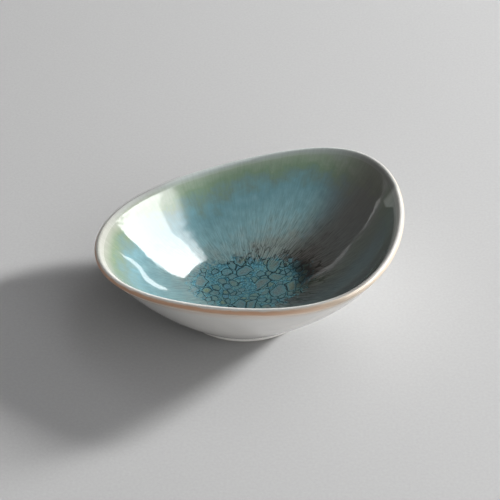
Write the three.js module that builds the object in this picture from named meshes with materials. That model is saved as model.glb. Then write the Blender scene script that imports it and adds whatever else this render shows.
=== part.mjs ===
// An egg-shaped porcelain dip bowl with a tilted rim, on a low round foot ring.
// The fired clay body carries five separate coats: a reactive glaze inside, the thick pool that
// it forms in the well, an iron band round the lip, and a white glaze outside and under the base.
// Millimetres and degrees. +X runs along the bowl to its high blunt end, +Z is up, and the
// origin lies on the table under the middle of the bowl's length and width.

import * as THREE from 'three';

// Overall size, over the outside of the lip
const bowlLength = 125;
const bowlWidth = 108.6;
const lowEndHeight = 27.3;
const highEndHeight = 47.4;
const rimSag = 1.1; // how far the sides of the rim hang below a straight line between its ends

// Egg plan of the rim: fullness of the high half, and squareness of the sides
const eggFullness = 0.232;
const eggSquareness = 0.091;

// Lip and wall
const lipThickness = 2.8;
const wallBelly = 11.9; // degrees that the wall leaves the foot flatter than its own chord
const wallBellySwing = 10.6; // more of that at the low end, less at the high end
const lipRise = 9.9; // degrees that the wall reaches the lip steeper than its chord
const lipRiseSwing = 3;
const wallFullness = 0.36; // share of the chord that each end's direction holds
const wallThickness = 4.2; // where the inside turns from the wall into the floor
const turnShare = 0.5; // how far up the wall from the foot that turn starts

// Foot ring, round, and set a little towards the low end
const footRadius = 28.4;
const footOffset = -1.4;
const footHeight = 1.6;
const footRingWidth = 3.2;
const footEdge = 0.4; // small bevel on both edges of the contact face
const recessDepth = 1.3;

// Well, the lowest place inside
const wellHeight = 5.8;
const wellOffset = 0.6;
const turnFullness = 0.45; // 1 would leave a sharp corner between the wall and the floor

// Coats
const outerGlaze = 0.3;
const innerGlaze = 0.6; // on the floor, thinning to the outer glaze's thickness at the lip
const bandDrop = 1.6; // how far the iron band reaches down the wall below the lip's round
const bandTop = 68; // degrees up the lip's round, from level, where the band meets the inner glaze
const glazeLine = 0.6; // bare clay at the foot below this height
const poolHalfLength = 26;
const poolHalfWidth = 19;
const poolDepth = 0.6; // at the middle of the pool, down to nothing at its shore

// Facets
const around = 64;
const wallSteps = 8;
const bandSteps = 4;
const crestSteps = 4;
const innerSteps = 5;
const turnSteps = 5;
const poolSteps = 3;

const up = new THREE.Vector3(0, 0, 1);
const lipRadius = lipThickness / 2;
const degrees = THREE.MathUtils.degToRad;
const angles = Array.from({ length: around }, (_, i) => (2 * Math.PI * i) / around);

// The egg's half width at an angle, before it is scaled to the bowl's width
function eggShare(angle) {
  const plump = 1 + eggFullness * Math.cos(angle) + eggSquareness * Math.cos(2 * angle);
  return Math.sin(angle) * plump;
}

const widestShare = Math.max(...angles.map(eggShare));

// The middle of the lip's round, all the way about the bowl
function lipCentre(angle) {
  const middle = (highEndHeight + lowEndHeight) / 2 - lipRadius;
  const tilt = (highEndHeight - lowEndHeight) / 2;
  return new THREE.Vector3(
    (bowlLength / 2 - lipRadius) * Math.cos(angle),
    ((bowlWidth / 2 - lipRadius) * eggShare(angle)) / widestShare,
    middle + tilt * Math.cos(angle) - (rimSag / 2) * (1 - Math.cos(2 * angle)),
  );
}

// A point on a circle about the foot's axis
function footPoint(angle, radius, height) {
  const x = footOffset + radius * Math.cos(angle);
  return new THREE.Vector3(x, radius * Math.sin(angle), height);
}

// A unit vector in a section's upright plane, at a slope above its level direction
function slopeVector(level, slope) {
  return level.clone().multiplyScalar(Math.cos(slope)).addScaledVector(up, Math.sin(slope));
}

// The upright plane from the foot to the lip at one angle, with the wall's two slopes in it.
// The lip's round and the wall touch at a tangent, so the chord's slope is found by iteration.
function wallFrame(angle) {
  const foot = footPoint(angle, footRadius, footHeight);
  const lip = lipCentre(angle);
  const level = new THREE.Vector3(lip.x - foot.x, lip.y - foot.y, 0);
  const run = level.length();
  const rise = lip.z - foot.z;
  level.normalize();
  const lipTurn = degrees(lipRise + lipRiseSwing * Math.cos(angle));
  let chordSlope = Math.atan2(rise, run);
  for (let pass = 0; pass < 8; pass++) {
    const lipSlope = chordSlope + lipTurn;
    const tangentRun = run + lipRadius * Math.sin(lipSlope);
    const tangentRise = rise - lipRadius * Math.cos(lipSlope);
    chordSlope = Math.atan2(tangentRise, tangentRun);
  }
  const footSlope = chordSlope - degrees(wallBelly - wallBellySwing * Math.cos(angle));
  return { foot, lip, level, footSlope, lipSlope: chordSlope + lipTurn };
}

// A point on the lip's round, at an angle up from its outer level side
function lipPoint(frame, turn, inset) {
  const radius = lipRadius - inset;
  return frame.lip.clone().addScaledVector(slopeVector(frame.level, turn), radius);
}

// The outer wall's curve from the top of the foot to the lip, set in by a coat
function outerCurve(frame, inset) {
  const mitre = (1 - Math.sin(frame.footSlope)) / Math.cos(frame.footSlope);
  const start = frame.foot.clone().addScaledVector(frame.level, -inset);
  start.addScaledVector(up, inset * mitre);
  const end = lipPoint(frame, frame.lipSlope - Math.PI / 2, inset);
  const handle = wallFullness * start.distanceTo(end);
  const startHandle = start.clone().addScaledVector(slopeVector(frame.level, frame.footSlope), handle);
  const endHandle = end.clone().addScaledVector(slopeVector(frame.level, frame.lipSlope), -handle);
  return new THREE.CubicBezierCurve3(start, startHandle, endHandle, end);
}

// How much of the way from the lip's size to the floor's a coat or wall has come at a share of
// the wall's height. It starts level, so that the lip's round runs on into the wall.
function thickening(share) {
  return ((1 - share) / (1 - turnShare)) ** 2;
}

// A point of the inner face, across the wall from a point of the outer face
function innerWallPoint(frame, outer, share, isClay) {
  const along = outer.getTangent(share);
  const slope = Math.atan2(along.z, along.dot(frame.level));
  const lipInset = isClay ? outerGlaze : 0;
  const turnInset = isClay ? innerGlaze : 0;
  const lipSize = lipThickness - lipInset;
  const size = THREE.MathUtils.lerp(lipSize, wallThickness - turnInset, thickening(share));
  return outer.getPoint(share).addScaledVector(slopeVector(frame.level, slope + Math.PI / 2), size);
}

// The floor's curve, from the foot of the inner wall to the middle of the well. Both ends hold
// their own direction towards the corner where wall and floor would meet if neither turned.
function floorCurve(frame, outer, isClay) {
  const nudge = 0.001;
  const start = innerWallPoint(frame, outer, turnShare, isClay);
  const downhill = start.clone().sub(innerWallPoint(frame, outer, turnShare + nudge, isClay));
  const end = new THREE.Vector3(wellOffset, 0, wellHeight - (isClay ? innerGlaze : 0));
  const corner = start.clone().addScaledVector(downhill, (end.z - start.z) / downhill.z);
  const startHandle = start.clone().lerp(corner, turnFullness);
  const endHandle = end.clone().lerp(corner, turnFullness);
  return new THREE.CubicBezierCurve3(start, startHandle, endHandle, end);
}

// How far a point lies out from the middle of the well, where the pool's shore counts as 1
function poolShare(point) {
  return Math.hypot((point.x - wellOffset) / poolHalfLength, point.y / poolHalfWidth);
}

// Where along the floor's curve the pool's shore lies, found by halving the interval
function shoreShare(floor) {
  let outside = 0;
  let inside = 1;
  for (let pass = 0; pass < 40; pass++) {
    const middle = (outside + inside) / 2;
    if (poolShare(floor.getPoint(middle)) > 1) outside = middle;
    else inside = middle;
  }
  return inside;
}

// Every point of one section, from the foot's glaze line over the lip to the middle of the well.
// The glazed face and the clay face under it have the same points, so that each coat and the
// clay share the facets between them.
function sectionPoints(angle, isClay) {
  const frame = wallFrame(angle);
  const inset = isClay ? outerGlaze : 0;
  const glazedOuter = outerCurve(frame, 0);
  const outer = outerCurve(frame, inset);
  const floor = floorCurve(frame, glazedOuter, isClay);
  const outerLimit = frame.lipSlope - Math.PI / 2;
  const innerLimit = frame.lipSlope + Math.PI / 2;
  const bandStart = 1 - bandDrop / (3 * wallFullness * outer.v0.distanceTo(outer.v3));
  const shoreAt = shoreShare(floorCurve(frame, glazedOuter, false));
  const points = [footPoint(angle, footRadius - inset, glazeLine)];
  const walk = (steps, from, to, place) => {
    for (let i = 1; i <= steps; i++) points.push(place(THREE.MathUtils.lerp(from, to, i / steps)));
  };
  points.push(outer.getPoint(0));
  walk(wallSteps, 0, bandStart, (share) => outer.getPoint(share));
  points.push(outer.getPoint(1));
  walk(bandSteps, outerLimit, degrees(bandTop), (turn) => lipPoint(frame, turn, inset));
  walk(crestSteps, degrees(bandTop), innerLimit, (turn) => lipPoint(frame, turn, inset));
  walk(innerSteps, 1, turnShare, (share) => innerWallPoint(frame, glazedOuter, share, isClay));
  walk(turnSteps, 0, shoreAt, (share) => floor.getPoint(share));
  walk(poolSteps, shoreAt, 1, (share) => floor.getPoint(share));
  points.pop();
  return points;
}

// Places along a section, counted from the glaze line
const bandEdge = 1 + wallSteps;
const crest = bandEdge + 1 + bandSteps;
const shore = crest + crestSteps + innerSteps + turnSteps;
const lastPlace = shore + poolSteps - 1;

// The rings of points that a face is lofted through, one for each place along the section
function ringsOf(isClay) {
  const sections = angles.map((angle) => sectionPoints(angle, isClay));
  return Array.from({ length: lastPlace + 1 }, (_, place) => sections.map((points) => points[place]));
}

// A closed surface through rings of points. A ring of one point closes an end; a loft without
// such ends joins its last ring to its first. Each four-sided facet is cut along its shorter
// diagonal, so that two pieces which share rings share their triangles too.
function loft(rings) {
  const joinsUp = rings[0].length > 1;
  const positions = [];
  const addTriangle = (a, b, c) => positions.push(...a.toArray(), ...b.toArray(), ...c.toArray());
  const last = joinsUp ? rings.length : rings.length - 1;
  for (let k = 0; k < last; k++) {
    const here = rings[k];
    const next = rings[(k + 1) % rings.length];
    for (let i = 0; i < around; i++) {
      const j = (i + 1) % around;
      if (here.length === 1) addTriangle(here[0], next[j], next[i]);
      else if (next.length === 1) addTriangle(here[i], here[j], next[0]);
      else if (here[i].distanceTo(next[j]) < here[j].distanceTo(next[i])) {
        addTriangle(here[i], here[j], next[j]);
        addTriangle(here[i], next[j], next[i]);
      } else {
        addTriangle(here[i], here[j], next[i]);
        addTriangle(here[j], next[j], next[i]);
      }
    }
  }
  const geometry = new THREE.BufferGeometry();
  geometry.setAttribute('position', new THREE.Float32BufferAttribute(positions, 3));
  geometry.computeVertexNormals();
  return geometry;
}

// A ring of points about the foot's axis
function footRing(radius, height) {
  return angles.map((angle) => footPoint(angle, radius, height));
}

const glazed = ringsOf(false);
const clay = ringsOf(true);
const wellTop = [new THREE.Vector3(wellOffset, 0, wellHeight)];
const wellClay = [new THREE.Vector3(wellOffset, 0, wellHeight - innerGlaze)];

// The recess under the base, from its middle to the foot ring's inner edge
const recessRadius = footRadius - footRingWidth;
const ceilingRadius = recessRadius - footEdge;
const recessClay = [
  [new THREE.Vector3(footOffset, 0, recessDepth + outerGlaze)],
  footRing(ceilingRadius, recessDepth + outerGlaze),
  footRing(recessRadius, glazeLine),
];
const recessGlaze = [
  [new THREE.Vector3(footOffset, 0, recessDepth)],
  footRing(ceilingRadius - outerGlaze, recessDepth),
  footRing(recessRadius - outerGlaze, glazeLine),
];

// Fired clay: the vessel with its foot ring, bare only where it stands
function clayBody() {
  const bareRadius = footRadius - outerGlaze;
  const contact = [
    footRing(recessRadius, footEdge),
    footRing(recessRadius + footEdge, 0),
    footRing(bareRadius - footEdge, 0),
    footRing(bareRadius, footEdge),
  ];
  return loft([...recessClay, ...contact, ...clay, wellClay]);
}

// A coat over one stretch of the wall, between the clay face and the glazed face
function wallCoat(from, to) {
  return loft([...clay.slice(from, to + 1).toReversed(), ...glazed.slice(from, to + 1)]);
}

// Reactive glaze over the whole inside, from the crest of the lip to the middle of the well
function innerCoat() {
  return loft([wellClay, ...clay.slice(crest).toReversed(), ...glazed.slice(crest), wellTop]);
}

// The crystallised pool that the glaze ran into, a lens over the floor
function crystalPool() {
  const middle = new THREE.Vector3(wellOffset, 0, wellHeight + poolDepth);
  const lifted = (point) => point.clone().addScaledVector(up, poolDepth * (1 - poolShare(point) ** 2));
  const top = glazed.slice(shore + 1).map((ring) => ring.map(lifted));
  return loft([wellTop, ...glazed.slice(shore).toReversed(), ...top, [middle]]);
}

// White glaze in the recess, which turns down the inside of the foot ring
function baseCoat() {
  return loft([...recessGlaze, ...recessClay.toReversed()]);
}

const pieces = [
  ['clay_body', clayBody(), { color: 0xe9e4da, roughness: 0.75, metalness: 0 }],
  ['outer_glaze', wallCoat(0, bandEdge), { color: 0xf2f2f0, roughness: 0.08, metalness: 0 }],
  ['rim_band', wallCoat(bandEdge, crest), { color: 0xb98a63, roughness: 0.3, metalness: 0 }],
  ['inner_glaze', innerCoat(), { color: 0x5c8894, roughness: 0.07, metalness: 0 }],
  ['crystal_pool', crystalPool(), { color: 0x3f7f8c, roughness: 0.07, metalness: 0 }],
  ['base_glaze', baseCoat(), { color: 0xf2f2f0, roughness: 0.12, metalness: 0 }],
];

const bowl = new THREE.Group();
bowl.name = 'dip_bowl';
for (const [name, geometry, finish] of pieces) {
  const piece = new THREE.Mesh(geometry, new THREE.MeshStandardMaterial(finish));
  piece.name = name;
  bowl.add(piece);
}

export default bowl;
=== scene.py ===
# %% [markdown]
# # A porcelain dip bowl with a reactive glaze
# The bowl is egg-shaped, 125 mm long, with a rim that climbs from a low narrow end to a high
# blunt end. Porcelain clay carries five coats of glaze, and each is a piece of its own here.
# The CAD part gives the frame, and the pieces below stand for its nodes with finer facets,
# because a glossy wall shows every flat in its reflections.

from types import SimpleNamespace

import bpy
import numpy as np
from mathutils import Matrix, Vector


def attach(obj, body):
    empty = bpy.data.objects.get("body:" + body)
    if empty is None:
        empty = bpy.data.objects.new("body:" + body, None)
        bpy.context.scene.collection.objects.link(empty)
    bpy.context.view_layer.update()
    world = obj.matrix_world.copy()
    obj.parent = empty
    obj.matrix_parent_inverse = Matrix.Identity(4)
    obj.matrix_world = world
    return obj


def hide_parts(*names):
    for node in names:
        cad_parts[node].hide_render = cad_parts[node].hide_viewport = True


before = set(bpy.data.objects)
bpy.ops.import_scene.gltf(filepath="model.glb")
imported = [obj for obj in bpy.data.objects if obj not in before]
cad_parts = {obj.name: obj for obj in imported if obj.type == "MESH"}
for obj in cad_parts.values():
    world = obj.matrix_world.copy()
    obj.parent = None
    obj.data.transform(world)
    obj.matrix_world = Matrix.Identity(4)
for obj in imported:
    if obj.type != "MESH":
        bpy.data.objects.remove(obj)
scene = bpy.context.scene
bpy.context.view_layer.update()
print("CAD nodes:", ", ".join(sorted(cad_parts)))

# %% [markdown]
# ## Sizes
# All lengths are in millimetres and all angles in degrees. The length, the width and the high end
# are up to a quarter of a millimetre under the drawing's, so that the finer facets stay inside the
# CAD part's box. The low end points to -X and the high end to +X, and the bowl is the same on both
# sides of its length.

# %% Name the sizes of the rim, the wall and the foot
MM = 0.001
bowl_length = 124.95
bowl_width = 108.34
low_end_height = 27.3
high_end_height = 47.39
rim_sag = 1.1
egg_fullness = 0.232
egg_squareness = 0.091

lip_thickness = 2.8
lip_rise = 9.9
lip_rise_swing = 3.0
wall_belly = 11.9
wall_belly_swing = 10.6
wall_fullness = 0.36
wall_thickness = 4.2
turn_share = 0.5

foot_radius = 28.4
foot_offset = -1.4
foot_height = 1.6
foot_ring_width = 3.2
foot_edge = 0.4
recess_depth = 1.3
print("the bowl is %.0f x %.0f x %.0f mm" % (bowl_length, bowl_width, high_end_height))

# %% Name the sizes of the well and the glazes
well_height = 5.8
well_offset = 0.6
turn_fullness = 0.45

outer_glaze = 0.3
inner_glaze = 0.6
band_drop = 1.6
band_top = 68
glaze_line = 0.6
pool_half_length = 26
pool_half_width = 19
pool_depth = 0.6
print("the glaze is %.1f mm thick outside and %.1f mm inside" % (outer_glaze, inner_glaze))

# %% Name how finely each stretch is divided
around = 240
wall_steps = 36
band_steps = 14
crest_steps = 10
inner_steps = 24
floor_steps = 18
pool_steps = 16
print("one facet of the rim is about %.1f mm long" % (np.pi * bowl_length / around))

# %% [markdown]
# ## The egg-shaped rim
# The rim is an ellipse pulled into an egg: its widest place lies nearer to the high end. Seen
# from the side it climbs with the length, and sags a little between the two ends. A few terms of
# sine and cosine draw it, with one number for each thing that a potter would say about it.

# %% Place the middle of the rounded lip, and the round foot
up = np.array([0.0, 0.0, 1.0])
angles = np.linspace(0, 2 * np.pi, around, endpoint=False)
lip_radius = lip_thickness / 2


def egg_share(angle):
    return np.sin(angle) * (1 + egg_fullness * np.cos(angle) + egg_squareness * np.cos(2 * angle))


def lip_centres():
    middle = (high_end_height + low_end_height) / 2 - lip_radius
    tilt = (high_end_height - low_end_height) / 2
    side = egg_share(angles) / egg_share(angles).max()
    x = (bowl_length / 2 - lip_radius) * np.cos(angles)
    y = (bowl_width / 2 - lip_radius) * side
    z = middle + tilt * np.cos(angles) - rim_sag / 2 * (1 - np.cos(2 * angles))
    return np.stack([x, y, z], axis=1)


def circle(radius, height):
    x = foot_offset + radius * np.cos(angles)
    return np.stack([x, radius * np.sin(angles), np.full(around, float(height))], axis=1)


lip = lip_centres()
foot = circle(foot_radius, foot_height)
print("the lip's middle lies %.0f to %.0f mm high" % (lip[:, 2].min(), lip[:, 2].max()))

# %% [markdown]
# ## The slopes of the wall
# A potter would trim this wall against a template that changes all round the bowl. Here each of
# 240 upright sections gets its own two slopes: the wall leaves the foot flatter than a straight
# line to the lip would, and reaches the lip steeper. The lip is round, so the place where the
# wall touches it depends on the slope and the slope on the place. A few rounds settle both.

# %% Find every section's slopes at the foot and at the lip
slope_rounds = 8

level = (lip - foot) * [1, 1, 0]
reach = np.linalg.norm(level, axis=1)
rise = lip[:, 2] - foot_height
level = level / reach[:, None]

lip_turn = np.radians(lip_rise + lip_rise_swing * np.cos(angles))
chord = np.arctan2(rise, reach)
for _ in range(slope_rounds):
    lip_slope = chord + lip_turn
    tangent_rise = rise - lip_radius * np.cos(lip_slope)
    tangent_reach = reach + lip_radius * np.sin(lip_slope)
    chord = np.arctan2(tangent_rise, tangent_reach)
lip_slope = chord + lip_turn
foot_slope = chord - np.radians(wall_belly - wall_belly_swing * np.cos(angles))
flattest, steepest = np.degrees([lip_slope.min(), lip_slope.max()])
print("the wall's slope at the lip is %.0f to %.0f degrees" % (flattest, steepest))

# %% [markdown]
# ## The faces of the wall
# The outer face is one smooth curve with four handles. The inner face keeps a set thickness from
# it, thin at the lip and thicker lower down, and then turns into the well. Clay and glaze use the
# same curves with different insets, so each coat lies exactly on the clay.

# %% Draw the curve of the outer face
def direction(slope):
    slope = np.broadcast_to(slope, (around,))
    return level * np.cos(slope)[:, None] + up * np.sin(slope)[:, None]


def lip_point(turn, inset):
    return lip + (lip_radius - inset) * direction(turn)


def curve(handles, share):
    a, b, c, d = handles
    rest = 1 - share
    return rest**3 * a + 3 * rest**2 * share * b + 3 * rest * share**2 * c + share**3 * d


def curve_direction(handles, share):
    a, b, c, d = handles
    rest = 1 - share
    return rest**2 * (b - a) + 2 * rest * share * (c - b) + share**2 * (d - c)


def outer_curve(inset):
    mitre = (1 - np.sin(foot_slope)) / np.cos(foot_slope)
    start = foot - inset * level + up * (inset * mitre)[:, None]
    end = lip_point(lip_slope - np.pi / 2, inset)
    handle = wall_fullness * np.linalg.norm(end - start, axis=1)[:, None]
    return start, start + handle * direction(foot_slope), end - handle * direction(lip_slope), end


start_of_wall, _, _, end_of_wall = outer_curve(0)
wall_length = np.linalg.norm(end_of_wall - start_of_wall, axis=1)[:, None]
print("foot to lip is %.0f to %.0f mm" % (wall_length.min(), wall_length.max()))


# %% Draw the inner face and the floor of the well
downhill_step = 0.001


def inner_point(share, is_clay):
    outer = outer_curve(0)
    along = curve_direction(outer, share)
    slope = np.arctan2(along[:, 2], (along * level).sum(axis=1))
    thickening = ((1 - share) / (1 - turn_share)) ** 2
    lip_size = lip_thickness - (outer_glaze if is_clay else 0)
    wall_size = wall_thickness - (inner_glaze if is_clay else 0)
    size = lip_size + (wall_size - lip_size) * thickening
    return curve(outer, share) + size * direction(slope + np.pi / 2)


def floor_curve(is_clay):
    start = inner_point(turn_share, is_clay)
    downhill = start - inner_point(turn_share + downhill_step, is_clay)
    end = np.array([well_offset, 0, well_height - (inner_glaze if is_clay else 0)])
    corner = start + downhill * ((end[2] - start[:, 2]) / downhill[:, 2])[:, None]
    start_handle = start + (corner - start) * turn_fullness
    end_handle = end + (corner - end) * turn_fullness
    return start, start_handle, end_handle, np.broadcast_to(end, start.shape)


turn_heights = inner_point(turn_share, False)[:, 2]
print("the wall turns into the well %.0f to %.0f mm up" % (turn_heights.min(), turn_heights.max()))

# %% [markdown]
# ## The shore of the pool
# The thick glaze in the well ends along an oval. The floor's curves don't follow that oval, so
# each is halved again and again until the place where it crosses the shore is pinned down.

# %% Find where each section meets the shore
shore_halvings = 40


def pool_share(points):
    return np.hypot((points[:, 0] - well_offset) / pool_half_length, points[:, 1] / pool_half_width)


def shore_shares():
    outside, inside = np.zeros(around), np.ones(around)
    for _ in range(shore_halvings):
        middle = (outside + inside) / 2
        is_out = pool_share(curve(floor_curve(False), middle[:, None])) > 1
        outside = np.where(is_out, middle, outside)
        inside = np.where(is_out, inside, middle)
    return inside[:, None]


shore_at = shore_shares()
print("the shore lies %.2f to %.2f of the way down the floor" % (shore_at.min(), shore_at.max()))

# %% [markdown]
# ## The rings
# A point on every section at the same stage of its curve makes one ring round the bowl. The rings
# run from the foot up the outside, over the lip and down to the well. The iron band starts 1.6 mm
# under the lip's lower edge: near its end this curve moves on by three handles for each unit of
# its share, which turns that length into a share.

# %% Make the rings of the glaze and of the clay
band_start = 1 - band_drop / (3 * wall_fullness * wall_length)


def steps(count, first, last):
    return [first + (last - first) * i / count for i in range(1, count + 1)]


def section_rings(is_clay):
    inset = outer_glaze if is_clay else 0
    outer = outer_curve(inset)
    floor = floor_curve(is_clay)
    top = np.full(around, np.radians(band_top))
    rings = [circle(foot_radius - inset, glaze_line), curve(outer, 0)]
    rings += [curve(outer, share) for share in steps(wall_steps, 0, band_start)]
    rings += [curve(outer, 1)]
    rings += [lip_point(turn, inset) for turn in steps(band_steps, lip_slope - np.pi / 2, top)]
    rings += [lip_point(turn, inset) for turn in steps(crest_steps, top, lip_slope + np.pi / 2)]
    rings += [inner_point(share, is_clay) for share in steps(inner_steps, 1, turn_share)]
    rings += [curve(floor, share) for share in steps(floor_steps, 0, shore_at)]
    rings += [curve(floor, share) for share in steps(pool_steps, shore_at, 1)]
    return rings[:-1]


glazed = section_rings(False)
clay = section_rings(True)
band_edge = 1 + wall_steps
crest = band_edge + 1 + band_steps
shore = crest + crest_steps + inner_steps + floor_steps
print("rings from foot to well:", len(glazed))

# %% [markdown]
# ## Distance from the crest
# A reactive glaze runs while it is molten, so its colour depends on how far down from the lip it
# is. Every point is given that distance: positive inside the bowl, negative outside. The
# materials read it as from_crest.

# %% Measure each ring's distance from the crest of the lip
def distances_from_crest(rings):
    gaps = [np.linalg.norm(b - a, axis=1) for a, b in zip(rings, rings[1:])]
    total = np.concatenate([np.zeros((1, around)), np.cumsum(gaps, axis=0)])
    return total - total[crest]


from_crest = distances_from_crest(glazed)
deepest = from_crest[-1].mean()
under_foot = from_crest[0].mean()
print("inside, lip to well: %.0f to %.0f mm" % (from_crest[-1].min(), from_crest[-1].max()))

# %% [markdown]
# ## Building closed coats
# Each coat is lofted through its rings: out along one face and back along the other, so it is a
# closed solid like the real skin of glass. A modifier could thicken a surface instead, but a loft
# gives each coat its exact edge. Edges sharper than 40 degrees, where a coat ends, are kept sharp,
# and the rest is shaded smooth.

# %% Build one closed mesh from rings
sharp_angle = np.radians(40)


def faces_between(here, there, here_is_point, there_is_point):
    faces = []
    for i in range(around):
        j = (i + 1) % around
        if here_is_point:
            faces.append((here, there + j, there + i))
        elif there_is_point:
            faces.append((here + i, here + j, there))
        else:
            faces.append((here + i, here + j, there + j, there + i))
    return faces


def new_piece(name, corners, faces):
    mesh = bpy.data.meshes.new(name)
    mesh.from_pydata(corners, [], faces)
    piece = bpy.data.objects.new(name, mesh)
    scene.collection.objects.link(piece)
    return piece


def loft(name, rings, distances):
    vertices, values, starts = [], [], []
    for ring, distance in zip(rings, distances):
        starts.append(len(vertices))
        vertices.extend(ring * MM)
        values.extend(np.broadcast_to(distance, (len(ring),)))
    joins_up = len(rings[0]) > 1
    faces = []
    for k in range(len(rings) if joins_up else len(rings) - 1):
        after = (k + 1) % len(rings)
        faces += faces_between(starts[k], starts[after], len(rings[k]) == 1, len(rings[after]) == 1)
    piece = new_piece(name, [tuple(point) for point in vertices], faces)
    mesh = piece.data
    mesh.attributes.new("from_crest", "FLOAT", "POINT").data.foreach_set("value", values)
    mesh.polygons.foreach_set("use_smooth", [True] * len(faces))
    mesh.set_sharp_from_angle(angle=sharp_angle)
    print(name, "has", len(faces), "faces")
    return piece


def point_ring(x, height):
    return np.array([[x, 0.0, height]])


def coat(name, first, last):
    """A coat from one ring along the section to another, closed through the clay's face."""
    places = list(range(last, first - 1, -1)) + list(range(first, last + 1))
    count = last - first + 1
    rings = [clay[k] for k in places[:count]] + [glazed[k] for k in places[count:]]
    return loft(name, rings, [from_crest[k] for k in places])


# %% [markdown]
# ## The clay body
# The porcelain vessel was pressed against a turning mould or cast in one piece with its foot
# ring. The ring is bare where it stands and its edges are bevelled. The shallow recess inside it
# keeps the glazed middle off the table.

# %% Build the clay body with its foot ring
recess_radius = foot_radius - foot_ring_width
ceiling_radius = recess_radius - foot_edge
bare_radius = foot_radius - outer_glaze
well_clay = point_ring(well_offset, well_height - inner_glaze)

recess_clay = [
    point_ring(foot_offset, recess_depth + outer_glaze),
    circle(ceiling_radius, recess_depth + outer_glaze),
    circle(recess_radius, glaze_line),
]
foot_contact = [
    circle(recess_radius, foot_edge),
    circle(recess_radius + foot_edge, 0),
    circle(bare_radius - foot_edge, 0),
    circle(bare_radius, foot_edge),
]
foot_values = [under_foot] * (len(recess_clay) + len(foot_contact))
clay_rings = recess_clay + foot_contact + clay + [well_clay]
clay_body = loft("fired_clay", clay_rings, foot_values + list(from_crest) + [deepest])

# %% [markdown]
# ## The coats of glaze
# The white glaze was sprayed outside and in the recess, the iron wash was brushed round the lip,
# and the reactive glaze was poured inside, where it ran down and pooled. The white outside ends
# where the iron band begins, and the band meets the inside glaze on the crest of the lip.

# %% Build the coats round the clay
outer_coat = coat("outside_white_glaze", 0, band_edge)
rim_band = coat("iron_lip_band", band_edge, crest)

well_top = point_ring(well_offset, well_height)
inside_rings = [well_clay] + clay[crest:][::-1] + glazed[crest:] + [well_top]
inside_values = [deepest] + list(from_crest[crest:][::-1]) + list(from_crest[crest:]) + [deepest]
inner_coat = loft("inside_reactive_glaze", inside_rings, inside_values)

recess_glaze = [
    point_ring(foot_offset, recess_depth),
    circle(ceiling_radius - outer_glaze, recess_depth),
    circle(recess_radius - outer_glaze, glaze_line),
]
base_rings = recess_glaze + recess_clay[::-1]
base_coat = loft("recess_white_glaze", base_rings, [under_foot] * len(base_rings))

# %% [markdown]
# ## The pool
# The molten glaze collected in the well. The pool's surface meets the floor without a step: it
# rises with a curve that is level at the shore and in the middle.

# %% Build the pool as a thin lens on the floor
def lifted(ring):
    height = pool_depth * (1 - pool_share(ring) ** 2) ** 2
    return ring + up * height[:, None]


pool_top = point_ring(well_offset, well_height + pool_depth)
pool_surface = [lifted(ring) for ring in glazed[shore + 1:]]
pool_rings = [well_top] + glazed[shore:][::-1] + pool_surface + [pool_top]
pool_values = [deepest] + list(from_crest[shore:][::-1]) + list(from_crest[shore + 1:]) + [deepest]
crystal_pool = loft("crystal_glaze_pool", pool_rings, pool_values)

# %% [markdown]
# ## Helpers for the materials
# Colours are sRGB hex, as they look on screen, and one function turns them into the linear values
# that light is reckoned in. Another adds a node: its properties by name, and each input as a
# value, an output, or a node, whose first output is then taken. Inputs go by name or by place:
# Map Range takes its value at 0, the range it comes from at 1 and 2 and the one it goes to at 3
# and 4, which are 0 and 1 unless given. Mix takes its share at 0 and its colours at 1 and 2.

# %% Write the helpers
smooth = {"interpolation_type": "SMOOTHSTEP"}
times = {"operation": "MULTIPLY"}


def colour(text):
    shares = [int(text[i:i + 2], 16) / 255 for i in (1, 3, 5)]
    linear = [s / 12.92 if s <= 0.04045 else ((s + 0.055) / 1.055) ** 2.4 for s in shares]
    return (*linear, 1.0)


def plug(tree, node, inputs):
    for name, value in inputs.items():
        if isinstance(value, bpy.types.Node):
            value = value.outputs[0]
        if isinstance(value, bpy.types.NodeSocket):
            tree.links.new(value, node.inputs[name])
        else:
            node.inputs[name].default_value = value


def add(tree, kind, inputs=None, stops=None, **properties):
    node = tree.nodes.new("ShaderNode" + kind)
    for name, value in properties.items():
        setattr(node, name, value)
    if stops:
        elements = node.color_ramp.elements
        elements[0].position, elements[-1].position = stops[0][0], stops[-1][0]
        for place, _ in stops[1:-1]:
            elements.new(place)
        for element, (_, text) in zip(elements, stops):
            element.color = colour(text)
    plug(tree, node, inputs or {})
    return node


def new_material(name):
    material = bpy.data.materials.new(name)
    material.use_nodes = True
    tree = material.node_tree
    return material, tree, tree.nodes["Principled BSDF"]


print("mid grey #808080 is %.3f in linear light" % colour("#808080")[0])

# %% [markdown]
# ## The paper sweep
# The bowl stands on pale grey paper. Paper is matt: it scatters the light evenly, and shows only
# the soft shadow and a faint grain. A flat sheet is enough, as its far bend is out of view. The
# fibres are too fine to show, so the grain is drawn about 1 mm wide.

# %% Lay the paper
paper_half_width = 3.0
paper_grains_per_metre = 900.0
matt_roughness = 0.9


def make_paper():
    material, tree, surface = new_material("matt grey paper sweep")
    place = add(tree, "TexCoord").outputs["Object"]
    grain = add(tree, "TexNoise", {"Vector": place, "Scale": paper_grains_per_metre, "Detail": 3.0})
    tint = add(tree, "ValToRGB", {"Fac": grain}, stops=[(0.3, "#9d9d9d"), (0.7, "#a2a2a2")])
    plug(tree, surface, {"Base Color": tint, "Roughness": matt_roughness})
    return material


def lay_paper():
    half = paper_half_width
    corners = [(-half, -half, 0), (half, -half, 0), (half, half, 0), (-half, half, 0)]
    floor = new_piece("paper_sweep", corners, [(0, 1, 2, 3)])
    floor.data.materials.append(make_paper())


lay_paper()
print("the paper is %.0f m wide" % (2 * paper_half_width))

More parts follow.
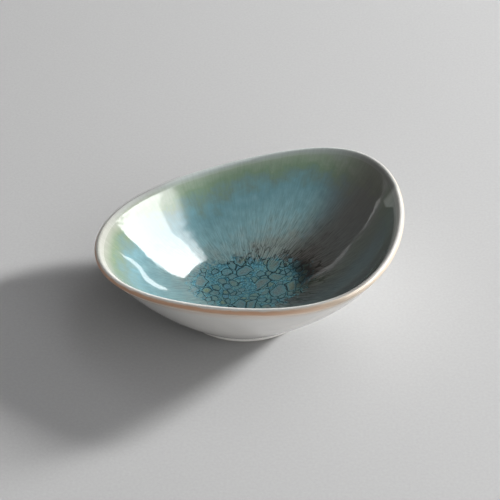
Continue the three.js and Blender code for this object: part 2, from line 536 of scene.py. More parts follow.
# %% [markdown]
# ## The lamps
# One soft lamp stands low at the right, a little to the back, and throws the long shadow to the
# left. Three weak lamps stand for what a studio's walls and ceiling give back, and the world for
# the rest. The lamps hide from reflections: what the gloss sees is hung below.

# %% Set the world, the key and the fills
room_light = 0.04
lamps = {
    "key": (0.26, 0.42, 118, (25.5, 22, 2.15)),
    "front fill": (1.6, 1.2, 13, (-48, 24, 1.6)),
    "left fill": (1.6, 1.0, 3.5, (-175, 30, 1.6)),
    "top fill": (1.2, 1.2, 2.3, (-60, 80, 1.5)),
}
lamp_target = (0, 0, 0.02)


def aimed(name, data, place, target):
    thing = bpy.data.objects.new(name, data)
    thing.location = place
    thing.rotation_euler = (Vector(target) - Vector(place)).to_track_quat("-Z", "Y").to_euler()
    scene.collection.objects.link(thing)
    return thing


def from_angles(azimuth, elevation, distance):
    flat = distance * np.cos(np.radians(elevation))
    turn = np.radians(azimuth)
    return flat * np.cos(turn), flat * np.sin(turn), distance * np.sin(np.radians(elevation))


def soft_lamp(name, width, height, watts, place):
    light = bpy.data.lights.new(name, "AREA")
    light.shape = "RECTANGLE"
    light.size = width
    light.size_y = height
    light.energy = watts
    aimed(name, light, place, lamp_target).visible_glossy = False
    print(name, "gives", watts, "W")


world = bpy.data.worlds.new("room")
scene.world = world
world.use_nodes = True
room = world.node_tree
plug(room, room.nodes["Background"], {"Color": (1, 1, 1, 1), "Strength": room_light})
for name, (width, height, watts, place) in lamps.items():
    soft_lamp(name, width, height, watts, from_angles(*place))

# %% [markdown]
# ## What the gloss sees of the softbox
# A glossy bowl shows the shape of its light. The hollow left wall bends the softbox's image as a
# spoon does, so the cloth's corners were found by following lines from the eye off the wall to a
# plane one metre away, and trimmed. They are in millimetres on it. The cloth glows fully
# inside the first outline and fades out to the second. Only reflections see it, and only the
# first one, so that its image doesn't return from the opposite wall.

# %% Cut the softbox cloth
softbox_azimuth = 20
softbox_elevation = 47
softbox_glow = 17.0
first_reflection_only = 1.5
full_edge = [
    (-12, -290), (-123, -253), (-284, -208), (-490, -175), (-790, -150), (-1040, -80), (-1123, 20),
    (-962, 3), (-808, -2), (-683, 23), (-534, 79), (-338, 175), (127, 424), (323, 471), (452, 470),
    (557, 437), (794, 280), (910, 198), (845, 190), (740, 178), (635, 150), (515, 85), (340, -95),
    (205, -222), (149, -300), (132, -315), (103, -318), (70, -314)]
faded_edge = [
    (-8, -302), (-127, -267), (-290, -226), (-510, -215), (-820, -190), (-1150, -110), (-1600, 60),
    (-1760, 200), (-1700, 270), (-1400, 320), (-1217, 350), (-815, 429), (-36, 607), (218, 600),
    (366, 568), (494, 521), (840, 273), (945, 182), (866, 167), (755, 155), (650, 123), (535, 60),
    (362, -119), (222, -238), (164, -314), (141, -331), (104, -332), (66, -327)]
glow_fall = [
    (0.0, "#000000"), (0.25, "#606060"), (0.5, "#bcbcbc"), (0.93, "#c8c8c8"), (1.0, "#ffffff")]


def seen_by_reflections(name, corners, faces):
    cloth = new_piece(name, corners, faces)
    cloth.visible_camera = cloth.visible_diffuse = cloth.visible_shadow = False
    return cloth


def glow_with(tree, surface, strength):
    plug(tree, surface, {"Base Color": (0, 0, 0, 1), "Emission Color": (1, 1, 1, 1)})
    plug(tree, surface, {"Emission Strength": strength})


def make_softbox():
    count = len(full_edge)
    corners = [(x * MM, y * MM, 0) for x, y in full_edge + faded_edge]
    faces = [tuple(range(count))]
    faces += [(i, (i + 1) % count, (i + 1) % count + count, i + count) for i in range(count)]
    cloth = seen_by_reflections("softbox", corners, faces)
    glow_values = [1.0] * count + [0.0] * count
    cloth.data.attributes.new("glow", "FLOAT", "POINT").data.foreach_set("value", glow_values)
    toward = Vector(from_angles(softbox_azimuth, softbox_elevation, 1))
    cloth.location = toward
    cloth.rotation_euler = (-toward).to_track_quat("-Z", "Y").to_euler()

    material, tree, surface = new_material("softbox cloth")
    glow = add(tree, "Attribute", attribute_name="glow").outputs["Fac"]
    soft = add(tree, "ValToRGB", {"Fac": glow}, stops=glow_fall)
    bounces = add(tree, "LightPath").outputs["Glossy Depth"]
    is_first = add(tree, "Math", {0: bounces, 1: first_reflection_only}, operation="LESS_THAN")
    seen = add(tree, "Math", {0: soft, 1: is_first}, **times)
    glow_with(tree, surface, add(tree, "Math", {0: seen, 1: softbox_glow}, **times))
    cloth.data.materials.append(material)


make_softbox()
print("the cloth has", len(full_edge), "corners on each outline")

# %% [markdown]
# ## What the gloss sees past the back rim
# Low on the left wall the bowl mirrors a thin slice of the room, between its own back rim and the
# bottom of a bright pane. On the right wall it mirrors the lit edge of the paper. Four narrow
# strips stand there, and again only reflections see them. Each is a list of azimuths with a lower
# and an upper elevation, as seen from the wall that mirrors it.

# %% Hang the strips
left_wall = (-0.050, -0.004, 0.018)
right_wall = (0.042, -0.002, 0.024)
strip_distance = 1.5
window_pane = [
    (50.2, 14, 17.2), (51.3, 12, 20.6), (55, 12, 24), (60, 12, 27), (67, 12, 28.3), (74, 12, 26.6),
    (80, 12, 24)]
window_frame = [(38, 0, 11), (45, 0, 12.5), (53, 0, 15)]
paper_edge = [
    (112, 0, 19.5), (118, 0, 19.5), (122, 0, 19.2), (124.3, 0, 18.2), (127, 0, 16.8), (131, 0, 15.4),
    (133, 0, 12.4)]
paper_end = [
    (133, 0, 12.4), (134.5, 0, 10.8), (136.4, 0, 8.2), (138, 0, 6.6), (140, 0, 5), (143, 0, 3)]
strips = {
    "window pane": (window_pane, left_wall, 6.5),
    "window frame": (window_frame, left_wall, 0.25),
    "lit paper edge": (paper_edge, right_wall, 0.75),
    "lit paper end": (paper_end, right_wall, 1.1),
}


def hang_strip(name, outline, seen_from, strength):
    corners = []
    for azimuth, bottom, top in outline:
        for elevation in (bottom, top):
            corner = Vector(seen_from) + Vector(from_angles(azimuth, elevation, strip_distance))
            corners.append(tuple(corner))
    faces = [(2 * i, 2 * i + 2, 2 * i + 3, 2 * i + 1) for i in range(len(outline) - 1)]
    strip = seen_by_reflections(name, corners, faces)
    material, tree, surface = new_material(name)
    glow_with(tree, surface, strength)
    strip.data.materials.append(material)
    print(name, "spans %.0f degrees" % (outline[-1][0] - outline[0][0]))


for name, (outline, seen_from, strength) in strips.items():
    hang_strip(name, outline, seen_from, strength)

# %% [markdown]
# ## The camera
# It looks down by 38 degrees with a long lens, a little from the bowl's right, and the bowl sits
# low in the frame as in the photo. From so far away its two ends keep nearly the same scale.

# %% Place the camera
camera_turn = 3.571
camera_elevation = 38.0
camera_distance = 0.740
camera_aim = (0.0001, 0.0123, 0.0157)
camera_field = np.radians(16.0)

camera = bpy.data.cameras.new("camera")
camera.lens_unit = "FOV"
camera.angle = camera_field
offset = Vector(from_angles(camera_turn - 90, camera_elevation, camera_distance))
scene.camera = aimed("camera", camera, Vector(camera_aim) + offset, camera_aim)
scene.view_settings.view_transform = "Standard"
print("the camera stands %.0f mm above the paper" % (scene.camera.location.z / MM))

# %% [markdown]
# ## White glaze
# Feldspar glaze on porcelain is a clear skin of glass over white clay: a pale colour with faint
# clouds some 20 mm wide, a sharp gloss, and a ripple of about 3 mm from the spray. Near the lip
# the iron wash has bled a little into it. One Principled surface with the IOR of glass gives
# both the colour under the skin and the gloss on it.

# %% Make the white glaze
glass_ior = 1.5
glaze_roughness = 0.1
clouds_per_mm = 0.05
white_ripples_per_mm = 0.35
ripple_height = 0.0001


def millimetres(tree):
    place = add(tree, "TexCoord").outputs["Object"]
    return add(tree, "VectorMath", {0: place, "Scale": 1 / MM}, operation="SCALE")


def make_white_glaze():
    material, tree, surface = new_material("white feldspar glaze")
    place = millimetres(tree)
    cloud = add(tree, "TexNoise", {"Vector": place, "Scale": clouds_per_mm, "Detail": 2.0})
    tint = add(tree, "ValToRGB", {"Fac": cloud}, stops=[(0.35, "#e3e1dd"), (0.7, "#d9d8d5")])
    distance = add(tree, "Attribute", attribute_name="from_crest").outputs["Fac"]
    bleed = add(tree, "MapRange", {0: distance, 1: -8.0, 2: -4.0, 4: 0.3}, **smooth)
    stained = add(tree, "MixRGB", {0: bleed, 1: tint, 2: colour("#d9b99c")})
    ripple = add(tree, "TexNoise", {"Vector": place, "Scale": white_ripples_per_mm, "Detail": 1.0})
    bump = add(tree, "Bump", {"Height": ripple, "Strength": 0.25, "Distance": ripple_height})
    plug(tree, surface, {"Base Color": stained, "Normal": bump})
    plug(tree, surface, {"Roughness": glaze_roughness, "IOR": glass_ior})
    return material


white_glaze = make_white_glaze()
print("made", white_glaze.name)

# %% [markdown]
# ## Bare clay
# The foot was wiped clean before firing, so that the bowl would not stick to the kiln shelf.
# Fired porcelain without glaze is warm white, matt and slightly grainy, with grains of about a
# quarter of a millimetre.

# %% Make the bare clay
clay_roughness = 0.75
clay_grains_per_mm = 4.0


def make_bare_clay():
    material, tree, surface = new_material("bare fired porcelain")
    place = millimetres(tree)
    grain = add(tree, "TexNoise", {"Vector": place, "Scale": clay_grains_per_mm, "Detail": 4.0})
    tint = add(tree, "ValToRGB", {"Fac": grain}, stops=[(0.3, "#cfc4b4"), (0.65, "#e6dfd3")])
    bump = add(tree, "Bump", {"Height": grain, "Strength": 0.4, "Distance": ripple_height})
    plug(tree, surface, {"Base Color": tint, "Normal": bump, "Roughness": clay_roughness})
    return material


bare_clay = make_bare_clay()
print("made", bare_clay.name)

# %% [markdown]
# ## The iron band
# Iron oxide brushed on the lip burns through where the glaze thins at the edge. It is rust brown
# low on the outside of the lip and fades to cream at the crest and into the white below. Brushing
# leaves it uneven, in patches some 5 mm long. Towards the high end it turns to cream and then grey:
# partly the colour of a thinner wash, and partly painted light, lighter where the key lamp only
# grazes the lip and greyer at the far end, where the key lights it fully. At the back of the low
# half the crest of the band is a pale blue grey.

# %% Make the iron wash
wash_roughness = 0.35
wash_patches_per_mm = 0.22
band_reach = -5.2
band_colours = [
    (0.0, "#dad3cc"), (0.3, "#d9cfc4"), (0.52, "#d3baa5"), (0.66, "#c69a7c"), (0.84, "#c29d84"),
    (0.91, "#d4c3b6"), (0.96, "#d8d4ce"), (1.0, "#cfcfcc")]
thin_wash_and_light_colours = [
    (0.0, "#e2cbb4"), (0.25, "#dfcab5"), (0.5, "#c9bcab"), (0.72, "#b3aa9c"), (1.0, "#aea69a")]


def brushed_band(tree, place, distance):
    patches = add(tree, "TexNoise", {"Vector": place, "Scale": wash_patches_per_mm, "Detail": 4.0})
    wander = add(tree, "Math", {0: patches, 1: 1.0, 2: -0.5}, operation="MULTIPLY_ADD")
    moved = add(tree, "Math", {0: distance, 1: wander}, operation="ADD")
    share = add(tree, "MapRange", {0: moved, 1: band_reach, 2: 0.0})
    return add(tree, "ValToRGB", {"Fac": share}, stops=band_colours)


# Painted light as well as a thinner wash: lighter where the key lamp only grazes the lip, greyer at
# the far high end where the key lights it fully.
def thinned_and_lit_wash(tree, band, along):
    thinning_and_light = add(tree, "MapRange", {0: along, 1: 6.0, 2: 38.0, 4: 0.85}, **smooth)
    end_share = add(tree, "MapRange", {0: along, 1: 20.0, 2: 60.0})
    thin_wash_and_light = add(tree, "ValToRGB", {"Fac": end_share}, stops=thin_wash_and_light_colours)
    return add(tree, "MixRGB", {0: thinning_and_light, 1: band, 2: thin_wash_and_light})


# The band's crest at the back of the low half is mixed to a pale blue grey.
def pale_back_crest(tree, wash, along, across, distance):
    at_back = add(tree, "MapRange", {0: across, 1: 0.0, 2: 25.0}, **smooth)
    at_low_half = add(tree, "MapRange", {0: along, 1: 0.0, 2: 30.0, 3: 1.0, 4: 0.0}, **smooth)
    there = add(tree, "Math", {0: at_back, 1: at_low_half}, **times)
    on_crest = add(tree, "MapRange", {0: distance, 1: -2.2, 2: -0.8, 4: 0.85}, **smooth)
    share = add(tree, "Math", {0: there, 1: on_crest}, **times)
    return add(tree, "MixRGB", {0: share, 1: wash, 2: colour("#c3cbcc")})


def make_iron_wash():
    material, tree, surface = new_material("iron wash under thin glaze")
    place = millimetres(tree)
    distance = add(tree, "Attribute", attribute_name="from_crest").outputs["Fac"]
    spread = add(tree, "SeparateXYZ", {0: place})
    wash = thinned_and_lit_wash(tree, brushed_band(tree, place, distance), spread.outputs["X"])
    wash = pale_back_crest(tree, wash, spread.outputs["X"], spread.outputs["Y"], distance)
    plug(tree, surface, {"Base Color": wash, "Roughness": wash_roughness, "IOR": glass_ior})
    return material


iron_wash = make_iron_wash()
print("made", iron_wash.name)

# %% [markdown]
# ## The reactive glaze
# Two glazes melt into each other here. Near the lip they are thin and sage green, further down
# thicker and blue, and where the wall meets the floor they drag into fine radial streaks called
# hare's fur. In the well the pool froze into crystals: rounded cells with dark iron outlines,
# olive or turquoise inside. One recipe colours both the coat and the pool, so that the pattern
# runs over the shore of the pool without a seam. It starts from where each point lies: how deep
# below the crest, how far out from the pool's middle and on which spoke.

# %% Find where each point lies on the bowl
pool_middle = (well_offset, -1.2, 0.0)
wide_streaks = 9.0


def glaze_spot(tree):
    place = millimetres(tree)
    from_middle = add(tree, "VectorMath", {0: place, 1: pool_middle}, operation="SUBTRACT")
    flat = add(tree, "VectorMath", {0: from_middle, 1: (1.0, 1.0, 0.0)}, **times)
    radius = add(tree, "VectorMath", {0: flat}, operation="LENGTH").outputs["Value"]
    spoke = add(tree, "VectorMath", {0: flat}, operation="NORMALIZE")
    oval = (1 / pool_half_length, 1 / pool_half_width, 0.0)
    shrunk = add(tree, "VectorMath", {0: flat, 1: oval}, **times)
    ring_share = add(tree, "VectorMath", {0: shrunk}, operation="LENGTH").outputs["Value"]
    spoke_x = add(tree, "SeparateXYZ", {0: spoke}).outputs["X"]
    spread = add(tree, "SeparateXYZ", {0: flat})
    depth = add(tree, "Attribute", attribute_name="from_crest").outputs["Fac"]
    return SimpleNamespace(
        place=place, flat=flat, along=spread.outputs["X"], across=spread.outputs["Y"],
        radius=radius, spoke=spoke, spoke_x=spoke_x, ring_share=ring_share, depth=depth)


def drawn_out(tree, spot, count, stretch):
    """Places drawn out along the spokes: about 6 x count of them go round the bowl."""
    turned = add(tree, "VectorMath", {0: spot.spoke, "Scale": count}, operation="SCALE")
    outward = add(tree, "Math", {0: spot.radius, 1: stretch}, **times)
    raised = add(tree, "CombineXYZ", {2: outward})
    return add(tree, "VectorMath", {0: turned, 1: raised}, operation="ADD")


def streak_noise(tree, spot, count, stretch):
    where = drawn_out(tree, spot, count, stretch)
    return add(tree, "TexNoise", {"Vector": where, "Scale": 1.0, "Detail": 4.0, "Roughness": 0.6})


print("the pool's middle is %.1f mm in front of the bowl's" % -pool_middle[1])

# %% [markdown]
# ## How far the glaze ran
# Molten glaze doesn't run evenly: whole patches slide further, and single streaks drag ahead. So
# the distance from the crest is shifted by three noises before it picks a colour, 30 mm and 5 mm
# wide patches and streaks along the spokes. Near the crest the glaze is held by its thinness, and
# the shift fades in over the first 12 mm.

# %% Shift the distance and colour the run from lip to floor
broad_patches_per_mm = 0.035
small_patches_per_mm = 0.2
broad_shift = 16.0
streak_shift = 10.0
small_shift = 22.0
full_run = 60.0
run_colours = [
    (0.0, "#b9bfbe"), (0.035, "#b0b9b5"), (0.065, "#a3b29f"), (0.14, "#8ca48b"), (0.23, "#86a39f"),
    (0.34, "#86b2bc"), (0.52, "#a3d0d8"), (0.68, "#b5d6d9"), (0.8, "#bac8c4")]


def run_distance(tree, spot):
    place = {"Vector": spot.place}
    broad = add(tree, "TexNoise", {**place, "Scale": broad_patches_per_mm, "Detail": 3.0})
    mottle = {"Scale": small_patches_per_mm, "Detail": 4.0, "Roughness": 0.6}
    small = add(tree, "TexNoise", {**place, **mottle})
    streaks = streak_noise(tree, spot, wide_streaks, 0.03)
    shifts = [
        add(tree, "Math", {0: noise, 1: width, 2: -width / 2}, operation="MULTIPLY_ADD")
        for noise, width in ((streaks, streak_shift), (small, small_shift), (broad, broad_shift))]
    drag = add(tree, "Math", {0: shifts[0], 1: shifts[1]}, operation="ADD")
    whole = add(tree, "Math", {0: shifts[2], 1: drag}, operation="ADD")
    held = add(tree, "MapRange", {0: spot.depth, 1: 1.0, 2: 12.0}, **smooth)
    return add(tree, "Math", {0: whole, 1: held, 2: spot.depth}, operation="MULTIPLY_ADD")


def lip_to_floor(tree, distance):
    share = add(tree, "MapRange", {0: distance, 1: 0.0, 2: full_run})
    return add(tree, "ValToRGB", {"Fac": share}, stops=run_colours)


print("it ran up to %.0f mm further" % ((broad_shift + streak_shift + small_shift) / 2))

# %% [markdown]
# ## The low end and the front lip
# Towards the low end the run is multiplied darker: painted shade, holding down the key lamp's
# light on the left wall. At the very tip the glaze grew thin on the edge to a plain grey. Along the
# front lip it drew back from the crest and left the white body nearly bare, and that bare crest
# turns greyer towards the high end, which is painted shade against the key lamp's light there.

# %% Colour the low end and the front lip
low_end = (-0.94, -0.34, 0.0)
front = (0.0, -1.0, 0.0)


# Painted shade towards the low end, and a plain grey tip.
def low_end_shade_and_tip(tree, spot, run):
    toward = add(tree, "VectorMath", {0: spot.flat, 1: low_end}, operation="DOT_PRODUCT")
    heading = toward.outputs["Value"]
    low_end_shade = add(tree, "MapRange", {0: heading, 1: 8.0, 2: 34.0}, **smooth)
    shaded_run = add(tree, "MixRGB", {0: low_end_shade, 1: run, 2: colour("#d0cac8")}, blend_type="MULTIPLY")
    thin = add(tree, "MapRange", {0: spot.depth, 1: 2.5, 2: 9.0, 3: 0.8, 4: 0.0}, **smooth)
    tip = add(tree, "MapRange", {0: heading, 1: 40.0, 2: 55.0}, **smooth)
    pale = add(tree, "Math", {0: thin, 1: tip}, **times)
    return add(tree, "MixRGB", {0: pale, 1: shaded_run, 2: colour("#97978f")})


def bared_front_lip_and_shade(tree, spot, run):
    toward = add(tree, "VectorMath", {0: spot.spoke, 1: front}, operation="DOT_PRODUCT")
    facing = add(tree, "MapRange", {0: toward.outputs["Value"], 1: 0.0, 2: 0.7}, **smooth)
    edge = add(tree, "MapRange", {0: spot.depth, 1: 0.9, 2: 2.2, 3: 1.0, 4: 0.0}, **smooth)
    bare = add(tree, "Math", {0: facing, 1: edge}, **times)
    # Painted shade: the bare crest turns greyer towards the high end, where the key lamp lights it
    # strongly.
    high_end_shade = add(tree, "MapRange", {0: spot.along, 1: 28.0, 2: 48.0}, **smooth)
    tone = add(tree, "MixRGB", {0: high_end_shade, 1: colour("#cfcfca"), 2: colour("#96948f")})
    return add(tree, "MixRGB", {0: bare, 1: run, 2: tone})


print("the glaze deepens towards", low_end[:2])

# %% [markdown]
# ## The darker high end
# Towards the high end the glaze is mixed to a grey brown, less so near the crest: partly its own
# colour and partly painted shade, as that side of the bowl lies in shade. Right by the lip a pale
# grey strip lies over it, 5.6 mm wide at the front and 10 mm towards the back.

# %% Colour the high end
high_end_brown_and_shade = "#766f6b"
strip_grey = "#bebcb7"
strip_at_front = 5.6
strip_at_back = 10.0


# Partly grey-brown glaze and partly painted shade towards the high end.
def high_end_tone_and_shade(tree, spot, distance, run):
    lean = add(tree, "MapRange", {0: spot.spoke_x, 1: 0.42, 2: 0.84}, **smooth)
    low = add(tree, "MapRange", {0: distance, 1: 2.0, 2: 20.0, 3: 0.82, 4: 0.93}, **smooth)
    darkening = add(tree, "Math", {0: lean, 1: low}, **times)
    spared = add(tree, "MapRange", {0: spot.depth, 1: 0.2, 2: 2.4, 3: 0.65, 4: 1.0}, **smooth)
    share = add(tree, "Math", {0: darkening, 1: spared}, **times)
    return add(tree, "MixRGB", {0: share, 1: run, 2: colour(high_end_brown_and_shade)})


# A pale grey strip by the lip at the high end, wider towards the back.
def pale_lip_strip(tree, spot, run):
    widths = {3: strip_at_front, 4: strip_at_back}
    width = add(tree, "MapRange", {0: spot.across, 1: 8.0, 2: 15.0, **widths}, **smooth)
    beyond = add(tree, "Math", {0: spot.depth, 1: width}, operation="SUBTRACT")
    pale_band = add(tree, "MapRange", {0: beyond, 1: -1.4, 2: 0.0, 3: 0.95, 4: 0.0}, **smooth)
    high_end = add(tree, "MapRange", {0: spot.spoke_x, 1: 0.7, 2: 0.85}, **smooth)
    stops_at = add(tree, "MapRange", {0: spot.across, 1: 16.5, 2: 20.0, 3: 1.0, 4: 0.0}, **smooth)
    there = add(tree, "Math", {0: high_end, 1: stops_at}, **times)
    share = add(tree, "Math", {0: there, 1: pale_band}, **times)
    return add(tree, "MixRGB", {0: share, 1: run, 2: colour(strip_grey)})


print("the milk is %.0f mm wide at the back" % strip_at_back)

# %% [markdown]
# ## The hare's fur
# Further down, the two glazes part into hairs along the spokes, a fraction of a millimetre wide.
# They are drawn as a fine streak noise that darkens the run, faint below the lip and strong
# where the wall turns into the floor.

# %% Put the run's parts together
hairs_round_bowl = 70.0
hair_colours = [(0.3, "#8f8c88"), (0.47, "#d6d6d6"), (0.62, "#ffffff")]


def hares_fur(tree, spot, distance, run):
    fine = streak_noise(tree, spot, hairs_round_bowl, 0.25)
    fur = add(tree, "MapRange", {0: distance, 1: 14.0, 2: 50.0, 3: 0.15, 4: 0.72}, **smooth)
    hairs = add(tree, "ValToRGB", {"Fac": fine}, stops=hair_colours)
    return add(tree, "MixRGB", {0: fur, 1: run, 2: hairs}, blend_type="MULTIPLY")


def run_colour(tree, spot):
    distance = run_distance(tree, spot)
    run = lip_to_floor(tree, distance)
    run = low_end_shade_and_tip(tree, spot, run)
    run = bared_front_lip_and_shade(tree, spot, run)
    run = high_end_tone_and_shade(tree, spot, distance, run)
    run = pale_lip_strip(tree, spot, run)
    return hares_fur(tree, spot, distance, run)


print("about", round(6 * hairs_round_bowl), "hairs go round the bowl")

# %% [markdown]
# ## The crystals
# Cells of about 7 mm and 4 mm, olive or turquoise and ringed in dark iron, lie scattered on a
# ground of 1 mm ones with hairline borders. A Voronoi texture gives cells with straight sides, so
# their corners are rounded by how far a point may lie from its cell's middle, and two noises bend
# the whole. Each cell has its own random numbers: one says whether it is drawn, the other picks
# its fill. Fewer are drawn in the middle of the pool.

# %% Draw one size of crystal cell
cell_roundness = 0.53
iron_outline = "#251a18"
iron_stain = "#998c80"
heart_ring = "#86c0cc"


def cell_pattern(tree, where, cells_per_mm, roundness):
    """How far in from the rounded outline a point lies, and two random numbers of its cell."""
    settings = {"Vector": where, "Scale": cells_per_mm}
    edge = add(tree, "TexVoronoi", settings, voronoi_dimensions="2D", feature="DISTANCE_TO_EDGE")
    cell = add(tree, "TexVoronoi", settings, voronoi_dimensions="2D", feature="F1")
    corner = add(tree, "Math", {0: roundness, 1: cell.outputs["Distance"]}, operation="SUBTRACT")
    inward = add(tree, "Math", {0: edge, 1: corner}, operation="MINIMUM")
    numbers = add(tree, "SeparateColor", {0: cell.outputs["Color"]})
    return inward, numbers.outputs[0], numbers.outputs[1]


def filled_cell(tree, spot, inward, tone, line, fills):
    fill = add(tree, "ValToRGB", {"Fac": tone}, stops=fills)
    blotch = add(tree, "TexNoise", {"Vector": spot.flat, "Scale": 0.45, "Detail": 3.0})
    stain = add(tree, "MapRange", {0: blotch, 1: 0.45, 2: 0.68, 4: 0.35}, **smooth)
    stained = add(tree, "MixRGB", {0: stain, 1: fill, 2: colour(iron_stain)})
    heart = add(tree, "MapRange", {0: inward, 1: 1.2 * line, 2: 0.24}, **smooth)
    ringed = add(tree, "MixRGB", {0: heart, 1: colour(heart_ring), 2: stained})
    outline = add(tree, "MapRange", {0: inward, 1: line, 2: 1.9 * line, 3: 0.9, 4: 0.0}, **smooth)
    return add(tree, "MixRGB", {0: outline, 1: ringed, 2: colour(iron_outline)})


def cell_is_drawn(tree, spot, chance, least, reach):
    needed = add(tree, "MapRange", {0: spot.radius, 1: 3.0, 2: 8.0, 3: least + 0.45, 4: least})
    outer = add(tree, "MapRange", {0: spot.ring_share, 1: reach - 0.2, 2: reach})
    limit = add(tree, "Math", {0: needed, 1: outer}, operation="MAXIMUM")
    return add(tree, "Math", {0: chance, 1: limit}, operation="GREATER_THAN")


def rounded_cells(tree, ground, where, spot, cells_per_mm, line, least, fills, reach):
    inward, chance, tone = cell_pattern(tree, where, cells_per_mm, cell_roundness)
    cell = filled_cell(tree, spot, inward, tone, line, fills)
    inside = add(tree, "MapRange", {0: inward, 1: 0.0, 2: 0.4 * line}, **smooth)
    drawn = cell_is_drawn(tree, spot, chance, least, reach)
    shown = add(tree, "Math", {0: drawn, 1: inside}, **times)
    return add(tree, "MixRGB", {0: shown, 1: ground, 2: cell})


print("a cell reaches at most %.2f of its size from its middle" % cell_roundness)

# %% [markdown]
# The pattern goes on for ever, and the pool is a window on it, chosen so that its cells
# lie roughly as in the photo.

# %% Lay the three sizes over each other
pattern_window = (63.0, 5.0, 0.0)
bends = [(0.4, 3.0, 1.5), (0.06, 1.0, 9.0)]
ground_cells_per_mm = 1.0
ground_roundness = 0.62
ground_colours = [(0.0, "#6fb4c8"), (0.35, "#8dd6ea"), (0.65, "#9bd0d1"), (1.0, "#99e0f2")]
hairline_blue = "#213b52"
mid_fills = [
    (0.0, "#8cc2d0"), (0.3, "#99c2b9"), (0.55, "#8fbecb"), (0.8, "#a4bfa6"), (0.95, "#88c4dc")]
wide_fills = [
    (0.0, "#9dbbb5"), (0.3, "#95bbbd"), (0.55, "#a2b4ad"), (0.8, "#93b8c2"), (0.95, "#a4b4a3")]
cell_sizes = [
    (0.27, 0.06, 0.2, mid_fills, 1.5),
    (0.135, 0.04, 0.4, wide_fills, 0.95),
]


def bent_places(tree, spot):
    moves = []
    for per_mm, detail, size in bends:
        noise = add(tree, "TexNoise", {"Vector": spot.flat, "Scale": per_mm, "Detail": detail})
        sized = {0: noise.outputs["Color"], "Scale": size}
        moves.append(add(tree, "VectorMath", sized, operation="SCALE"))
    moved = add(tree, "VectorMath", {0: moves[0], 1: moves[1]}, operation="ADD")
    shifted = add(tree, "VectorMath", {0: spot.flat, 1: pattern_window}, operation="ADD")
    return add(tree, "VectorMath", {0: shifted, 1: moved}, operation="ADD")


def turquoise_ground(tree, where):
    inward, _, tone = cell_pattern(tree, where, ground_cells_per_mm, ground_roundness)
    ground = add(tree, "ValToRGB", {"Fac": tone}, stops=ground_colours)
    hairline = add(tree, "MapRange", {0: inward, 1: 0.02, 2: 0.16, 3: 0.5, 4: 0.0}, **smooth)
    return add(tree, "MixRGB", {0: hairline, 1: ground, 2: colour(hairline_blue)})


def crystal_colour(tree, spot):
    where = bent_places(tree, spot)
    cells = turquoise_ground(tree, where)
    for cells_per_mm, line, least, fills, reach in cell_sizes:
        cells = rounded_cells(tree, cells, where, spot, cells_per_mm, line, least, fills, reach)
    speck = add(tree, "TexNoise", {"Vector": spot.flat, "Scale": 1.8, "Detail": 4.0})
    specks = add(tree, "ValToRGB", {"Fac": speck}, stops=[(0.35, "#8f9aa0"), (0.6, "#ffffff")])
    return add(tree, "MixRGB", {0: 0.5, 1: cells, 2: specks}, blend_type="MULTIPLY")


print("drawn cells are", ", ".join("%.1f mm" % (1 / size[0]) for size in cell_sizes), "across")

# %% [markdown]
# ## The iron veins
# Round the pool the melt tore into dark iron veins that branch outwards. They are the borders of
# cells drawn out along the spokes. They are drawn most at the back and towards the high end, where
# they run together into a dark band by the pool's edge; that side of the well lies in shade, and
# the dark there is partly iron and partly painted shade.

# %% Draw the iron veins round the pool
vein_cells = 16.0
vein_stretch = 0.11
veined_side = (0.85, 0.53, 0.0)
pooled_and_shaded_end = (0.99, 0.12, 0.0)


def vein_lines(tree, spot):
    bend = add(tree, "TexNoise", {"Vector": spot.flat, "Scale": 0.5, "Detail": 2.0})
    bent = add(tree, "VectorMath", {0: bend.outputs["Color"], "Scale": 0.5}, operation="SCALE")
    straight = drawn_out(tree, spot, vein_cells, vein_stretch)
    where = add(tree, "VectorMath", {0: straight, 1: bent}, operation="ADD")
    edge = add(tree, "TexVoronoi", {"Vector": where, "Scale": 1.0}, feature="DISTANCE_TO_EDGE")
    return add(tree, "MapRange", {0: edge, 1: 0.01, 2: 0.1, 3: 1.0, 4: 0.0}, **smooth)


def vein_share(tree, spot):
    starts = add(tree, "MapRange", {0: spot.ring_share, 1: 0.66, 2: 0.84}, **smooth)
    fades = add(tree, "MapRange", {0: spot.ring_share, 1: 0.95, 2: 1.55, 3: 1.0, 4: 0.0}, **smooth)
    ring = add(tree, "Math", {0: fades, 1: starts}, **times)
    side = add(tree, "VectorMath", {0: spot.spoke, 1: veined_side}, operation="DOT_PRODUCT")
    facing_range = {0: side.outputs["Value"], 1: -0.4, 2: 0.8, 3: 0.1, 4: 0.85}
    facing = add(tree, "MapRange", facing_range, **smooth)
    there = add(tree, "Math", {0: ring, 1: facing}, **times)
    veins = add(tree, "Math", {0: vein_lines(tree, spot), 1: there}, **times)

    # Painted shade as well as iron: a dark band at the pool's edge towards the high end.
    end_on = add(tree, "VectorMath", {0: spot.spoke, 1: pooled_and_shaded_end}, operation="DOT_PRODUCT")
    end_range = {0: end_on.outputs["Value"], 1: 0.84, 2: 0.97, 4: 0.75}
    end_share = add(tree, "MapRange", end_range, **smooth)
    rim = add(tree, "MapRange", {0: spot.ring_share, 1: 0.95, 2: 1.15, 3: 1.0, 4: 0.0}, **smooth)
    near = add(tree, "Math", {0: rim, 1: starts}, **times)
    pooled_and_shade = add(tree, "Math", {0: near, 1: end_share}, **times)
    return add(tree, "Math", {0: veins, 1: pooled_and_shade}, operation="MAXIMUM")


print("about", round(6 * vein_cells), "vein cells go round the pool")

# %% [markdown]
# ## The whole reactive glaze
# The crystals give way to the run along a frayed edge, and the veins lie over both. The surface
# is a glass skin with a soft ripple. Only the outermost 3 mm by the lip are matt: there the glaze
# is starved thin, and so the bright cloth doesn't reach the crest, as in the photo.

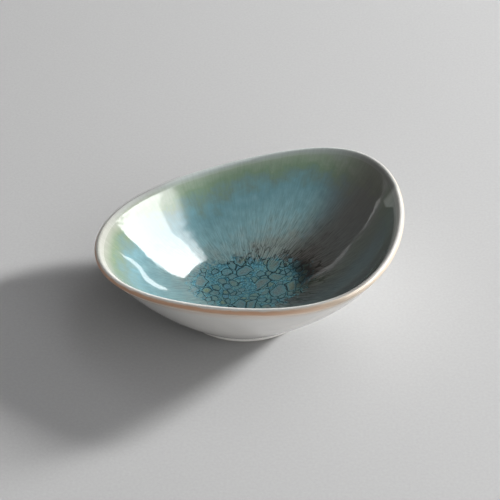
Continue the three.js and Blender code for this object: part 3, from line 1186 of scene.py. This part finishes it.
# %% Put the run, the crystals and the veins together
vein_black = "#1d1513"
ripples_per_mm = 0.3


def make_reactive_glaze(name):
    material, tree, surface = new_material(name)
    spot = glaze_spot(tree)
    ragged = streak_noise(tree, spot, wide_streaks, 0.45)
    frayed = add(tree, "Math", {0: ragged, 1: 0.8, 2: spot.ring_share}, operation="MULTIPLY_ADD")
    crystal_share = add(tree, "MapRange", {0: frayed, 1: 1.2, 2: 1.45, 3: 1.0, 4: 0.0}, **smooth)
    run = run_colour(tree, spot)
    crystals = crystal_colour(tree, spot)
    glazes = add(tree, "MixRGB", {0: crystal_share, 1: run, 2: crystals})
    veined = add(tree, "MixRGB", {0: vein_share(tree, spot), 1: glazes, 2: colour(vein_black)})
    ripple = add(tree, "TexNoise", {"Vector": spot.place, "Scale": ripples_per_mm, "Detail": 1.0})
    bump = add(tree, "Bump", {"Height": ripple, "Strength": 0.2, "Distance": ripple_height})
    starved = add(tree, "MapRange", {0: spot.depth, 1: 3.0, 2: 3.6, 3: 0.95, 4: 0.05}, **smooth)
    plug(tree, surface, {"Base Color": veined, "Normal": bump})
    plug(tree, surface, {"Roughness": starved, "IOR": glass_ior})
    return material


wall_glaze = make_reactive_glaze("reactive glaze on the wall")
pool_glaze = make_reactive_glaze("reactive glaze in the pool")
print(wall_glaze.name, "has", len(wall_glaze.node_tree.nodes), "nodes")

# %% [markdown]
# ## Hand the pieces to the frame
# Each piece gets its material, rides on the part's one body and stands for one CAD node.

# %% Dress the pieces and hang them on the body
pieces = [
    (clay_body, bare_clay, "fired_porcelain", "clay_body"),
    (outer_coat, white_glaze, "white_glaze", "outer_glaze"),
    (rim_band, iron_wash, "iron_glaze", "rim_band"),
    (inner_coat, wall_glaze, "reactive_glaze", "inner_glaze"),
    (crystal_pool, pool_glaze, "crystal_glaze", "crystal_pool"),
    (base_coat, white_glaze, "white_glaze", "base_glaze"),
]
for piece, material, slot, node in pieces:
    piece.data.materials.append(material)
    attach(piece, "root")
    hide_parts(node)
    print(piece.name, "stands for", node)
